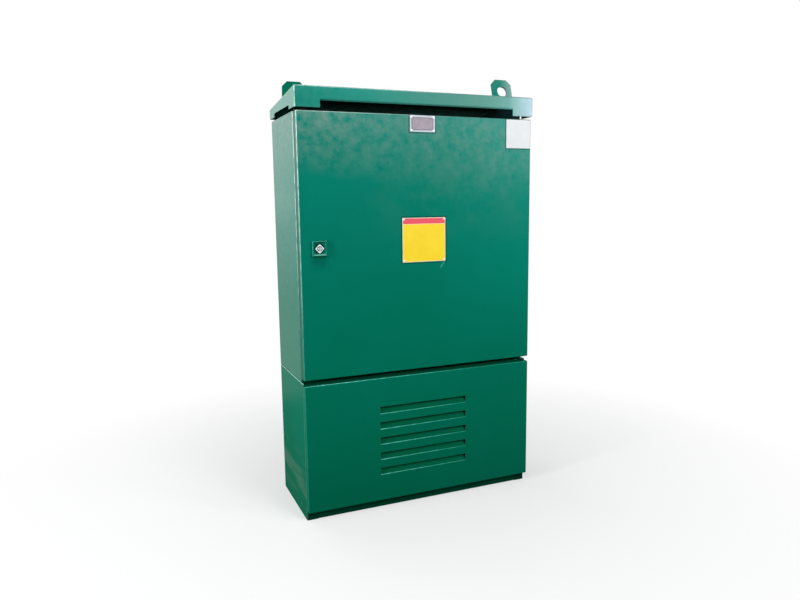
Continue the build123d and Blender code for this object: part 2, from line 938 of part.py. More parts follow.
def earth_bar_spacers():
    """Spacers between the earth bar and the wall."""
    back = y_wall - earth_spacer_length
    return [
        rod(i * earth_spacer_x, back, earth_level, earth_spacer_radius, earth_spacer_length, "y")
        for i in (-1, 1)
    ]


def cable_clamp_rail():
    """Slotted rail across the base that takes the cable clamps."""
    back = clamp_front + clamp_depth
    low = clamp_top - clamp_height
    rail = block(-inside, inside, clamp_front, back, low, clamp_top)
    rail -= block(
        -half,
        half,
        clamp_front + clamp_sheet,
        back - clamp_sheet,
        low + clamp_sheet,
        clamp_top - clamp_sheet,
    )
    slot_low = (low + clamp_top - clamp_slot) / 2
    front = clamp_front - overrun
    return rail - block(-half, half, front, clamp_front + overrun, slot_low, slot_low + clamp_slot)


def save(name, shape):
    """Write one piece, or one group of separate solids."""
    whole = Compound(children=shape) if isinstance(shape, list) else shape
    export_step(whole, os.path.join("parts", name + ".step"))


os.makedirs("parts", exist_ok=True)
name_z = door_top - name_drop
label_x = half - label_margin - label_width / 2
label_z = door_top - label_margin - label_height / 2
sign_z = lock_z + sign_rise

save("body_wrap", body_wrap())
save("header_rail", cross_rail(lip_top - sheet, body_top, lip_top - sheet))
save("sill_rail", cross_rail(z_body, lip_bottom + sheet, lip_bottom))
save("body_top_sheet", body_top_sheet())
save("body_bottom_frame", body_bottom_frame())
save("base_top_frame", base_top_frame())
save("joining_bolts", joining_bolts())
save("base_wrap", base_wrap())
save("base_bottom_frame", base_bottom_frame())
save("base_cover", base_cover())
save("cover_studs", cover_studs())
save("cover_nuts", cover_nuts())
save("roof", roof())
save("roof_support_left", roof_support(-1))
save("roof_support_right", roof_support(1))
save("roof_bolts", roof_bolts())
save("lifting_eye_front", lifting_eye(eye_places()[0]))
save("lifting_eye_back", lifting_eye(eye_places()[1]))
save("lifting_eye_bolts", lifting_eye_bolts())
for level_name, level in (("lower", hinge_lower), ("upper", hinge_upper)):
    save(level_name + "_hinge_bracket", hinge_bracket(level))
    save(level_name + "_hinge_pin", hinge_pin(level))
    save(level_name + "_hinge_leaf", hinge_leaf(level))
save("door_panel", door_panel())
save("door_stiffener_left", door_stiffener(-stiffener_x))
save("door_stiffener_right", door_stiffener(stiffener_x))
save("door_seal", door_seal())
save("lock_housing", lock_housing())
save("lock_nut", lock_nut())
save("lock_core", lock_core())
save("lock_cam", lock_cam())
save("cam_screw", cam_screw())
save("sign_plate", plate(sign_x, sign_z, sign_width, sign_height, plate_sheet))
save("sign_rivets", rivets(sign_x, sign_z, sign_width, sign_height))
save("rating_plate", plate(name_x, name_z, name_width, name_height, plate_sheet))
save("rating_plate_rivets", rivets(name_x, name_z, name_width, name_height))
save("door_label", plate(label_x, label_z, label_width, label_height, label_sheet))
save("mounting_channel_left", mounting_channel(-1))
save("mounting_channel_right", mounting_channel(1))
save("busbar_insulators", insulators(busbar_levels))
for bar_name, level in zip(("lower", "middle", "upper"), busbar_levels):
    save(bar_name + "_busbar", bar(level, rail_places()))
for index, place in enumerate(rail_places()):
    save("fuse_rail_" + str(index + 1), fuse_rail(place))
save("fuse_rail_bolts", fuse_rail_bolts())
save("fuse_contacts", fuse_contacts())
save("fuse_links", fuse_links())
save("neutral_bar", bar(neutral_level, neutral_places()))
save("neutral_insulators", insulators((neutral_level,)))
save("neutral_bolts", neutral_bolts())
save("earth_bar", earth_bar())
save("earth_bar_spacers", earth_bar_spacers())
save("cable_clamp_rail", cable_clamp_rail())
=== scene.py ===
"""Looks of a green roadside distribution cabinet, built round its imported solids."""
import json
import math

import bpy
from mathutils import Matrix, Vector


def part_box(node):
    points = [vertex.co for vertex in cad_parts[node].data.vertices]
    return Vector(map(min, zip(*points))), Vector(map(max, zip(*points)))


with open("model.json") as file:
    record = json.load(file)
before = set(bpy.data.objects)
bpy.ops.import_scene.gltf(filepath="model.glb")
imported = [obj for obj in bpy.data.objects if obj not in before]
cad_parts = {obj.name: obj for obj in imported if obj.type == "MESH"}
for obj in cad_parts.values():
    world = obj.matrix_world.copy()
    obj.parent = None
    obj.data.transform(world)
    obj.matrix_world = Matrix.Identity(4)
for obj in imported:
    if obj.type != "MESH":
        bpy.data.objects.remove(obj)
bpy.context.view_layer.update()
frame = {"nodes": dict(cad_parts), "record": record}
scene = bpy.context.scene

# Corners of the pieces that the marks in the paint follow, in metres
door_low, door_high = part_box("door_panel")
base_low, base_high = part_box("base_wrap")
roof_low, roof_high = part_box("roof")
cover_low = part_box("base_cover")[0]
housing_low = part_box("lock_housing")[0]
core_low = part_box("lock_core")[0]

# Places that the boxes don't give, in metres
roof_slot_half = roof_high.x - 0.077
roof_slot_top = roof_low.z + 0.02
louvre_bend = cover_low.y + 0.0012


class Finish:
    """One procedural material and the nodes that feed it."""

    def __init__(self, name):
        self.material = bpy.data.materials.new(name)
        self.material.use_nodes = True
        self.tree = self.material.node_tree
        self.tree.nodes.clear()
        self.out = self.add("ShaderNodeOutputMaterial")
        self.shader = self.add("ShaderNodeBsdfPrincipled")
        self.link(self.shader.outputs["BSDF"], self.out.inputs["Surface"])
        coordinates = self.add("ShaderNodeTexCoord")
        self.place = coordinates.outputs["Object"]
        self.normal = coordinates.outputs["Normal"]

    def add(self, kind, **settings):
        node = self.tree.nodes.new(kind)
        for key, value in settings.items():
            setattr(node, key, value)
        return node

    def link(self, source, target):
        self.tree.links.new(source, target)

    def set(self, **values):
        """Constants on the shader's own sockets."""
        for key, value in values.items():
            self.shader.inputs[key.replace("_", " ")].default_value = value

    def axis(self, name):
        """One coordinate of the object's own place."""
        split = self.add("ShaderNodeSeparateXYZ")
        self.link(self.place, split.inputs[0])
        return split.outputs[name]

    def facing(self, name):
        """One coordinate of the surface's normal."""
        split = self.add("ShaderNodeSeparateXYZ")
        self.link(self.normal, split.inputs[0])
        return split.outputs[name]

    def noise(self, scale, detail=2.0, rough=0.5, stretch=None):
        """Noise over the object's own coordinates, scale in cycles for each metre."""
        where = self.place
        if stretch:
            mapping = self.add("ShaderNodeMapping")
            mapping.inputs["Scale"].default_value = stretch
            self.link(where, mapping.inputs["Vector"])
            where = mapping.outputs["Vector"]
        node = self.add("ShaderNodeTexNoise")
        node.inputs["Scale"].default_value = scale
        node.inputs["Detail"].default_value = detail
        node.inputs["Roughness"].default_value = rough
        self.link(where, node.inputs["Vector"])
        return node.outputs["Fac"]

    def ramp(self, value, low, high, start=0.0, end=1.0):
        """Value brought from one range to another."""
        node = self.add("ShaderNodeMapRange")
        node.inputs["From Min"].default_value = low
        node.inputs["From Max"].default_value = high
        node.inputs["To Min"].default_value = start
        node.inputs["To Max"].default_value = end
        self.link(value, node.inputs["Value"])
        return node.outputs["Result"]

    def mix(self, share, first, second):
        """Blend of two colours, each a colour or the output of a node."""
        node = self.add("ShaderNodeMix", data_type="RGBA")
        for value, name in ((first, "A"), (second, "B")):
            target = [s for s in node.inputs if s.name == name and s.type == "RGBA"][0]
            if isinstance(value, tuple):
                target.default_value = (*value, 1.0)
            else:
                self.link(value, target)
        target = [s for s in node.inputs if s.name == "Factor" and s.type == "VALUE"][0]
        self.link(share, target)
        return [s for s in node.outputs if s.type == "RGBA"][0]

    def math(self, operation, *values):
        """Arithmetic on one or two values, each a number or the output of a node."""
        node = self.add("ShaderNodeMath", operation=operation)
        for value, target in zip(values, node.inputs):
            if isinstance(value, float):
                target.default_value = value
            else:
                self.link(value, target)
        return node.outputs["Value"]

    def product(self, first, *others):
        """Several shares multiplied."""
        for other in others:
            first = self.math("MULTIPLY", first, other)
        return first

    def plus(self, first, second):
        return self.math("ADD", first, second)

    def minus(self, first, second):
        return self.math("SUBTRACT", first, second)

    def larger(self, first, second):
        return self.math("MAXIMUM", first, second)

    def above(self, value, limit):
        return self.math("GREATER_THAN", value, limit)

    def below(self, value, limit):
        return self.math("LESS_THAN", value, limit)

    def size(self, value):
        return self.math("ABSOLUTE", value)

    def diagonal(self, first, second):
        """Length of the diagonal over two sides."""
        squares = [self.math("POWER", side, 2.0) for side in (first, second)]
        return self.math("SQRT", self.plus(*squares))

    def edges(self, radius):
        """Mask that is high along the edges of a solid."""
        bevel = self.add("ShaderNodeBevel", samples=4)
        bevel.inputs["Radius"].default_value = radius
        geometry = self.add("ShaderNodeNewGeometry")
        dot = self.add("ShaderNodeVectorMath", operation="DOT_PRODUCT")
        self.link(bevel.outputs["Normal"], dot.inputs[0])
        self.link(geometry.outputs["Normal"], dot.inputs[1])
        return self.ramp(dot.outputs["Value"], 1.0, 0.75)

    def folds(self, name, sign, low, high):
        """Mask of the folds between the front and the side that an axis and its sign name."""
        aside = self.larger(self.product(self.facing(name), sign), 0.0)
        ahead = self.product(self.facing("Y"), -1.0)
        return self.ramp(self.product(aside, ahead), low, high)

    def colour(self, source):
        self.link(source, self.shader.inputs["Base Color"])

    def roughness(self, source):
        self.link(source, self.shader.inputs["Roughness"])

    def bump(self, height, distance, strength):
        node = self.add("ShaderNodeBump")
        node.inputs["Strength"].default_value = strength
        node.inputs["Distance"].default_value = distance
        self.link(height, node.inputs["Height"])
        self.link(node.outputs["Normal"], self.shader.inputs["Normal"])

    def grain(self, noise, rough_low, rough_high, distance, strength):
        """Roughness and bump from one fine noise."""
        self.roughness(self.ramp(noise, 0.3, 0.7, rough_low, rough_high))
        self.bump(noise, distance, strength)


def srgb(red, green, blue):
    """Linear colour from the numbers of a colour picker."""
    def line(value):
        share = value / 255
        return share / 12.92 if share <= 0.04045 else ((share + 0.055) / 1.055) ** 2.4
    return line(red), line(green), line(blue)


def half_size(piece):
    """Half the width and half the height of a piece, in metres."""
    low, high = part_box(piece)
    half = (high - low) / 2
    return half.x, half.z


def from_middle(finish, piece):
    """Distances across and up from the middle of a piece, in metres."""
    low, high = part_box(piece)
    middle = (low + high) / 2
    return finish.minus(finish.axis("X"), middle.x), finish.minus(finish.axis("Z"), middle.z)


# Paints: tone at the foot, tone at the top, chalked tone. The change from the foot tone to the top tone is
# painted light and shade, and the chalked tone is chalking and painted sheen
chalk_sheen_tone = srgb(116, 143, 132)
dark = srgb(0, 30, 22)
green = (srgb(0, 106, 79), srgb(2, 118, 100), chalk_sheen_tone)
# Painted shade for the far lifting eye.
shaded_far_green = (srgb(0, 96, 70), srgb(0, 104, 78), chalk_sheen_tone)
# Painted bluish reflection for the right roof support, which shows through the slot.
reflected_support_blue = (srgb(58, 112, 124), srgb(64, 118, 128), chalk_sheen_tone)
# Painted shade for the frames and for the roof's left support.
shaded_green = (srgb(0, 66, 44), srgb(0, 70, 50), srgb(30, 90, 70))
unlit_green = (srgb(0, 12, 9), srgb(0, 14, 10), dark)
# Painted highlight with wear on the folds: white on most paint, green on the louvre bends.
highlight_and_wear_white = srgb(224, 248, 240)
highlight_and_wear_green = srgb(140, 255, 240)


# Painted sheet

def lit_and_weathered(coat, paint, patch, chalk_sheen):
    """Paint lighter towards the top and darker at the foot, which is painted light and shade; chalky in
    patches, mostly at the top and the right, which is chalking and painted sheen; paler along the edges,
    which is wear and painted highlight.
    """
    low, high, pale = paint
    up, across = coat.axis("Z"), coat.axis("X")
    top_light_low, top_light_high = 0.05, roof_high.z - 0.03
    foot_shade_low, foot_shade_high = 0.02, 0.32
    chalk_sheen_low, chalk_sheen_high = door_high.z - 0.23, door_high.z - 0.04
    chalk_sheen_inner, chalk_sheen_outer = door_high.x * 0.25, door_high.x * 0.9
    chalk_sheen_slope = 0.12
    edge_radius = 0.0012
    cloud = coat.ramp(coat.noise(4.0, 3.0, 0.6), 0.3, 0.7, -0.12, 0.12)
    # Lighter towards the top: painted light.
    height_light = coat.plus(coat.ramp(up, top_light_low, top_light_high), cloud)
    tone = coat.mix(coat.ramp(height_light, 0.0, 1.0), low, high)
    # Darker at the foot: painted shade.
    tone = coat.mix(coat.ramp(up, foot_shade_high, foot_shade_low, 0.0, 0.16), tone, dark)
    # Chalky patches, mostly at the top and the right: chalking and painted sheen.
    outer = coat.ramp(coat.size(across), chalk_sheen_inner, chalk_sheen_outer, 0.6, 1.15)
    level = coat.plus(up, coat.product(across, chalk_sheen_slope))
    chalk_sheen_share = coat.product(patch, outer, coat.ramp(level, chalk_sheen_low, chalk_sheen_high, 0.0, chalk_sheen))
    tone = coat.mix(chalk_sheen_share, tone, pale)
    # Paler along the edges: wear and painted highlight.
    return coat.mix(coat.product(coat.edges(edge_radius), 0.3), tone, pale)


def fold_highlights_and_wear(coat, highlight_and_wear, depth):
    """Painted highlight with broken wear on the left and upper folds that lie in front of a depth."""
    highlight_wear_low, highlight_wear_high = door_low.z + 0.14, door_high.z - 0.06
    highlight_wear_right, highlight_wear_left = door_high.x * 0.4, door_low.x * 0.75
    broken = coat.ramp(coat.noise(45.0), 0.4, 0.58, 0.45 * highlight_and_wear, highlight_and_wear)
    left = coat.product(
        coat.folds("X", -1.0, 0.2, 0.4),
        coat.ramp(coat.axis("Z"), highlight_wear_low, highlight_wear_high, 0.08, 1.0),
    )
    top = coat.product(
        coat.folds("Z", 1.0, 0.1, 0.35),
        coat.ramp(coat.axis("X"), highlight_wear_right, highlight_wear_left, 0.05, 0.65),
    )
    return coat.product(coat.larger(left, top), coat.below(coat.axis("Y"), depth), broken)


def powder_coat(name, paint, gloss=0.22, rough=0.35, chalk_sheen=1.0, tint=0.08, highlight_and_wear=1.0, highlight_and_worn=highlight_and_wear_white,
                depth=0.0, marks=None, painted_light_and_shade=None):
    """Semi-gloss powder coat with orange peel; marks lie on it, and painted light and shade, without gloss,
    lie where the surface is hidden.
    """
    coat = Finish(name)
    patch = coat.ramp(coat.noise(36.0, 4.0, 0.66), 0.32, 0.74)
    tone = lit_and_weathered(coat, paint, patch, chalk_sheen)
    if marks:
        for mask, colour in marks(coat):
            tone = coat.mix(mask, tone, colour)
    # Painted highlight with wear along the folds.
    if highlight_and_wear:
        tone = coat.mix(fold_highlights_and_wear(coat, highlight_and_wear, depth), tone, highlight_and_worn)
    coat.set(Specular_IOR_Level=gloss, Specular_Tint=(tint, 1.0, 0.95, 1.0))
    # Painted shade and light, without gloss, where the surface is hidden.
    if painted_light_and_shade:
        mask, colour = painted_light_and_shade(coat)
        tone = coat.mix(mask, tone, colour)
        coat.link(coat.ramp(mask, 0.0, 1.0, gloss, 0.0), coat.shader.inputs["Specular IOR Level"])
    coat.colour(tone)
    coat.roughness(coat.ramp(patch, 0.0, 1.0, rough - 0.06, rough + 0.06))
    coat.bump(coat.noise(420.0), 0.0002, 0.3)
    return coat.material


def flap_shade(coat):
    """Painted shade, without gloss, on the flaps of the louvres behind the bright bend."""
    shade_start, shade_end = louvre_bend - 0.0004, louvre_bend + 0.0002
    leaning = coat.above(coat.facing("Z"), 0.3)
    return coat.product(leaning, coat.ramp(coat.axis("Y"), shade_start, shade_end)), srgb(3, 91, 63)


def frame_side_shade(coat):
    """Painted shade on the sides of the frames, which show through the seam."""
    return coat.above(coat.size(coat.facing("X")), 0.5), srgb(0, 6, 4)


def roof_light_and_shade(coat):
    """Painted haze growing towards the right and a painted flare at the right end of the roof's front,
    painted shade along the rim above its slot, and a painted sheen on its left side.
    """
    across = coat.axis("X")
    haze_start, haze_end = roof_low.x / 2, roof_high.x * 0.82
    flare_start, flare_end = roof_high.x * 0.77, roof_high.x
    rim_low, rim_high = roof_slot_top + 0.002, roof_slot_top + 0.0065
    front = coat.ramp(coat.facing("Y"), -0.5, -0.9)
    # Painted haze towards the right and a painted flare at the right end.
    right_haze = coat.product(front, coat.ramp(across, haze_start, haze_end, 0.0, 0.24))
    right_flare = coat.product(front, coat.ramp(across, flare_start, flare_end, 0.0, 0.7))
    # Painted sheen on the left side.
    left_sheen = coat.product(coat.below(coat.facing("X"), -0.5), 0.22)
    # Painted shade along the rim above the slot.
    rim = coat.product(
        front,
        coat.below(coat.size(across), roof_slot_half),
        coat.ramp(coat.axis("Z"), rim_high, rim_low, 0.0, 0.9),
    )
    return (
        (right_haze, srgb(190, 180, 178)),
        (right_flare, srgb(200, 184, 208)),
        (left_sheen, srgb(160, 206, 190)),
        (rim, srgb(0, 44, 26)),
    )


def roof_inside(coat):
    """Inside of the roof, dull, with painted bounce light that grows paler towards the back and the right.
    """
    half_sheet = 0.001
    bounce_front, bounce_back = roof_high.y * 0.12, roof_high.y * 0.61
    bounce_left, bounce_right = roof_low.x, roof_high.x / 4
    across, depth = coat.axis("X"), coat.axis("Y")
    inside = coat.product(
        coat.below(coat.size(across), roof_high.x - half_sheet),
        coat.below(coat.size(depth), roof_high.y - half_sheet),
        coat.below(coat.facing("Z"), 0.5),
    )
    # Painted bounce light, paler towards the back and the right.
    painted_bounce = coat.product(
        coat.ramp(depth, bounce_front, bounce_back),
        coat.ramp(across, bounce_left, bounce_right, 0.4, 1.0),
    )
    return inside, coat.mix(painted_bounce, srgb(0, 90, 70), srgb(206, 252, 252))


def eye_flare(coat):
    """Painted flare on the right half of the front lifting eye."""
    flare_start, flare_end = -0.004, 0.03
    across = from_middle(coat, "lifting_eye_front")[0]
    return ((coat.ramp(across, flare_start, flare_end, 0.0, 0.55), srgb(160, 184, 182)),)


def base_marks(coat):
    """Painted shade on the front flanges under the cover and at their head, a painted highlight on the cut
    edge at the seam, painted shade in the seam, and dust on the left side that is also a painted reflection
    of the ground.
    """
    up = coat.axis("Z")
    top = base_high.z
    foot_shade_low, foot_shade_high = cover_low.z - 0.002, cover_low.z + 0.004
    head_low, head_high = top - 0.035, top - 0.025
    edge_low, edge_high = top - 0.0032, top - 0.0022
    gap_low, gap_high = top - 0.002, top - 0.0005
    dust_reflection_foot, dust_reflection_low, dust_reflection_high, dust_reflection_top = top * 0.045, top * 0.2, top * 0.36, top * 0.5
    flange_depth = base_low.y + 0.0025
    on_front = coat.below(coat.axis("Y"), flange_depth)
    leftward = coat.below(coat.facing("X"), -0.5)
    upward = coat.above(coat.facing("Z"), 0.5)
    # Dust that is also a painted reflection of the ground.
    dust_reflection = coat.product(
        leftward,
        coat.ramp(coat.noise(9.0, 3.0, 0.6, (1.0, 0.4, 2.6)), 0.44, 0.64),
        coat.ramp(up, dust_reflection_top, dust_reflection_high),
        coat.ramp(up, dust_reflection_foot, dust_reflection_low, 0.0, 0.17),
    )
    # Painted shade under the cover.
    foot_shade = coat.product(on_front, coat.ramp(up, foot_shade_high, foot_shade_low, 0.0, 0.85))
    # Painted shade at the head of the flange.
    head_shade = coat.product(on_front, coat.ramp(up, head_low, head_high, 0.0, 0.8))
    # Painted highlight on the edge at the seam.
    edge_highlight = coat.product(leftward, coat.ramp(up, edge_low, edge_high, 0.0, 0.85))
    # Painted shade in the seam.
    seam_shade = coat.product(upward, coat.ramp(up, gap_low, gap_high))
    return (
        (foot_shade, srgb(0, 40, 26)),
        (head_shade, dark),
        (dust_reflection, srgb(132, 152, 142)),
        (edge_highlight, srgb(170, 226, 208)),
        (seam_shade, dark),
    )


def door_light_and_chalk(coat):
    """Painted light on the right side of the door, and pale blotches over its upper part that are chalking
    and painted sheen.
    """
    up, across = coat.axis("Z"), coat.axis("X")
    right_light_low, right_light_high = door_low.z + 0.04, door_low.z + 0.29
    right_light_left, right_light_right = 0.0, door_high.x * 0.95
    blotch_low, blotch_high = door_high.z - 0.41, door_high.z - 0.06
    blotch_left, blotch_right = door_low.x * 0.75, door_high.x / 8
    # Painted light on the right side of the door.
    right_light = coat.product(
        coat.ramp(across, right_light_left, right_light_right, 0.0, 0.55),
        coat.ramp(up, right_light_low, right_light_high),
    )
    # Pale blotches: chalking and painted sheen.
    chalk_sheen_blotch = coat.product(
        coat.ramp(coat.noise(11.0, 4.0, 0.65), 0.42, 0.62),
        coat.ramp(up, blotch_low, blotch_high),
        coat.ramp(across, blotch_left, blotch_right, 0.0, 0.18),
    )
    return [(right_light, srgb(0, 130, 110)), (chalk_sheen_blotch, chalk_sheen_tone)]


def lock_shadow(coat):
    """Painted shadow under the lock."""
    across, up = from_middle(coat, "lock_housing")
    wide, tall = half_size("lock_housing")
    shadow_inner, shadow_outer = wide - 0.009, wide + 0.011
    shadow_top, shadow_end = 0.004, 0.05
    under = coat.minus(-tall, up)
    return coat.product(
        coat.ramp(coat.size(across), shadow_outer, shadow_inner),
        coat.ramp(under, shadow_end, shadow_top, 0.0, 0.4),
        coat.above(under, 0.0),
    )


def plate_shadow(coat, plate):
    """Painted shadow round a plate."""
    across, up = from_middle(coat, plate)
    wide, tall = half_size(plate)
    outline_inner, outline_outer = 0.003, 0.0055
    outside = coat.larger(coat.minus(coat.size(across), wide), coat.minus(coat.size(up), tall))
    return coat.ramp(outside, outline_outer, outline_inner, 0.0, 0.65)


def sign_scratch(coat):
    """Slanting scratch that starts under the lower right corner of the sign."""
    across, up = from_middle(coat, "sign_plate")
    wide, tall = half_size("sign_plate")
    inset, lean, start, end = 0.0034, 0.65, 0.002, 0.022
    scratch_inner, scratch_outer = 0.0012, 0.0024
    under = coat.minus(-tall, up)
    line = coat.plus(coat.product(under, lean), inset)
    aside = coat.size(coat.minus(coat.minus(wide, across), line))
    return coat.product(
        coat.ramp(aside, scratch_outer, scratch_inner, 0.0, 0.75),
        coat.above(under, start),
        coat.below(under, end),
    )


def door_marks(coat):
    """Painted light, chalk and sheen, painted shadows under the lock and round the plates, and the scratch
    on the door, and painted shade beside its left seam.
    """
    depth = coat.axis("Y")
    half_sheet = 0.001
    # Painted shade on the door's left side beside the seam.
    shade_start, shade_end = door_low.y + 0.006, door_low.y + 0.012
    leftward = coat.below(coat.facing("X"), -0.8)
    shade = coat.product(leftward, coat.ramp(depth, shade_start, shade_end), 0.6)
    front_only = [(lock_shadow(coat), dark)]
    for plate in ("sign_plate", "rating_plate", "door_label"):
        front_only.append((plate_shadow(coat, plate), dark))
    front_only.append((sign_scratch(coat), srgb(70, 178, 156)))
    on_front = coat.below(depth, door_low.y + half_sheet)
    marks = [(coat.product(on_front, mask), colour) for mask, colour in front_only]
    return door_light_and_chalk(coat) + [(shade, dark)] + marks


def dish_light_and_shade(coat):
    """Painted shade on the upper and side walls of the dish, painted light on its lower wall, and painted
    shade in the recess of the head.
    """
    across, up = from_middle(coat, "lock_core")
    depth = coat.axis("Y")
    rim, dish_floor, recess_radius = housing_low.y + 0.0022, housing_low.y + 0.0045, 0.0157
    rise_low, rise_high = -0.01, 0.01
    # Painted shade on the upper and side walls, painted light on the lower wall, painted shade in the
    # recess.
    shaded = coat.larger(coat.folds("Z", -1.0, 0.3, 0.45), coat.folds("X", 1.0, 0.3, 0.45))
    lit_rise = coat.product(coat.folds("Z", 1.0, 0.3, 0.45), coat.ramp(up, rise_low, rise_high, 0.6, 0.15))
    recess_shade = coat.below(coat.diagonal(across, up), recess_radius)
    return (
        (coat.product(shaded, coat.above(depth, rim), 0.6), dark),
        (lit_rise, srgb(140, 216, 194)),
        (coat.product(coat.above(depth, dish_floor), recess_shade), srgb(4, 12, 10)),
    )


# Metal, plastic and plates

def plain_metal(name, main, dull, rough, stretch=None, metallic=1.0):
    """Bare or plated metal with fine grain and dull patches."""
    metal = Finish(name)
    patch = metal.ramp(metal.noise(60.0, 3.0, 0.6), 0.35, 0.7)
    metal.colour(metal.mix(patch, main, dull))
    metal.grain(metal.noise(400.0, 2.0, 0.6, stretch), rough - 0.08, rough + 0.1, 0.0001, 0.25)
    metal.set(Metallic=metallic)
    return metal.material


def moulded(name, main, tone, rough):
    """Moulded plastic, rubber or ceramic with a fine grain."""
    stuff = Finish(name)
    stuff.colour(stuff.mix(stuff.ramp(stuff.noise(25.0, 3.0), 0.35, 0.65), main, tone))
    stuff.grain(stuff.noise(900.0), rough - 0.06, rough + 0.08, 0.00015, 0.3)
    return stuff.material


def core_face():
    """Bright lock core with a dark ring round its plug, and painted shade on its sides and in its keyway."""
    core = Finish("lock_core")
    across, up = from_middle(core, "lock_core")
    ring_radius, ring_width, head_depth = 0.0066, 0.0013, 0.0016
    ring = core.below(core.size(core.minus(core.diagonal(across, up), ring_radius)), ring_width)
    # Painted shade on the sides of the head and in the keyway.
    deep_shade = core.above(core.axis("Y"), core_low.y + head_depth)
    patch = core.ramp(core.noise(60.0, 3.0, 0.6), 0.35, 0.7)
    tone = core.mix(patch, srgb(238, 250, 253), srgb(228, 242, 246))
    core.colour(core.mix(core.larger(ring, deep_shade), tone, srgb(14, 18, 18)))
    core.grain(core.noise(400.0, 2.0, 0.6), 0.24, 0.4, 0.0001, 0.2)
    core.set(Metallic=0.1)
    return core.material


def sign_face():
    """Enamelled sign: yellow field, red band along the top and a pale border."""
    sign = Finish("sign_paint")
    across, up = from_middle(sign, "sign_plate")
    wide, tall = half_size("sign_plate")
    border = 0.0018
    band = 2 * tall / 7
    patch = sign.ramp(sign.noise(14.0, 3.0, 0.6), 0.35, 0.7)
    field = sign.mix(patch, srgb(254, 224, 42), srgb(252, 212, 30))
    over = sign.minus(up, tall - band)
    field = sign.mix(sign.above(over, 0.0), field, srgb(238, 82, 100))
    field = sign.mix(sign.below(sign.size(over), border / 2), field, srgb(250, 214, 170))
    side_edge = sign.above(sign.size(across), wide - border)
    end_edge = sign.above(sign.size(up), tall - border)
    sign.colour(sign.mix(sign.larger(side_edge, end_edge), field, srgb(236, 234, 206)))
    sign.grain(sign.noise(700.0), 0.34, 0.46, 0.0001, 0.25)
    sign.set(Specular_IOR_Level=0.35)
    return sign.material


def rating_face():
    """Bare satin plate with a thin rounded border line."""
    face = Finish("rating_plate")
    inset, turn, line = 0.0065, 0.006, 0.0009
    past = [
        face.larger(face.minus(face.size(value), half - inset - turn), 0.0)
        for value, half in zip(from_middle(face, "rating_plate"), half_size("rating_plate"))
    ]
    far = face.diagonal(*past)
    on_line = face.below(face.size(face.minus(far, turn)), line)
    patch = face.ramp(face.noise(60.0, 3.0), 0.35, 0.7)
    tone = face.mix(patch, srgb(133, 124, 135), srgb(121, 114, 124))
    tone = face.mix(face.above(far, turn), tone, srgb(160, 168, 174))
    face.colour(face.mix(on_line, tone, srgb(72, 62, 74)))
    face.grain(face.noise(500.0, 2.0, 0.6, (0.05, 1.0, 1.0)), 0.42, 0.56, 0.0001, 0.2)
    face.set(Metallic=0.35)
    return face.material


# Finish of each slot, and of the pieces that have one of their own
finishes = {
    "green_paint": powder_coat("green_paint", green),
    "frame_paint": powder_coat("frame_paint", shaded_green, gloss=0.08, highlight_and_wear=0.0, painted_light_and_shade=frame_side_shade),
    "zinc_steel": plain_metal("zinc_steel", srgb(205, 208, 210), srgb(168, 172, 176), 0.34),
    "lock_metal": core_face(),
    "seal_rubber": moulded("seal_rubber", srgb(24, 25, 26), srgb(34, 35, 36), 0.7),
    "sign_paint": sign_face(),
    "plate_metal": plain_metal("rivet_metal", srgb(236, 238, 240), srgb(222, 224, 228), 0.38, metallic=0.4),
    "label_film": moulded("label_film", srgb(216, 220, 221), srgb(211, 215, 217), 0.4),
    "copper": plain_metal("copper", srgb(206, 132, 96), srgb(178, 108, 78), 0.35, (0.1, 1.0, 1.0)),
    "rail_plastic": moulded("rail_plastic", srgb(44, 46, 48), srgb(54, 56, 58), 0.5),
    "fuse_ceramic": moulded("fuse_ceramic", srgb(232, 228, 216), srgb(222, 216, 202), 0.3),
    "insulator_plastic": moulded("insulator_plastic", srgb(150, 44, 32), srgb(132, 38, 28), 0.4),
}
own_finishes = {
    "body_wrap": powder_coat("body_coat", green, rough=0.22),
    "base_wrap": powder_coat("base_coat", green, gloss=0.02, rough=0.2, marks=base_marks),
    "door_panel": powder_coat("door_coat", green, marks=door_marks),
    "base_cover": powder_coat("cover_coat", green, highlight_and_worn=highlight_and_wear_green, depth=louvre_bend, painted_light_and_shade=flap_shade),
    "lock_housing": powder_coat("lock_coat", green, highlight_and_wear=0.0, marks=dish_light_and_shade),
    "roof": powder_coat(
        "roof_coat", green, gloss=0.28, rough=0.2, chalk_sheen=0.06, tint=0.2,
        marks=roof_light_and_shade, painted_light_and_shade=roof_inside,
    ),
    "lifting_eye_front": powder_coat("eye_coat", green, chalk_sheen=0.2, highlight_and_wear=0.0, marks=eye_flare),
    "lifting_eye_back": powder_coat("far_eye_coat", shaded_far_green, gloss=0.1, chalk_sheen=0.0, highlight_and_wear=0.0),
    "roof_support_left": powder_coat("unlit_coat", unlit_green, gloss=0.0, highlight_and_wear=0.0),
    "roof_support_right": powder_coat("support_coat", reflected_support_blue, chalk_sheen=0.0, highlight_and_wear=0.0),
    "rating_plate": rating_face(),
}
slot_of = {part["node"]: part["material_slot"] for part in frame["record"]["subparts"]}
for name, piece in frame["nodes"].items():
    piece.data.materials.clear()
    piece.data.materials.append(own_finishes.get(name) or finishes[slot_of[name]])


# Floor and light

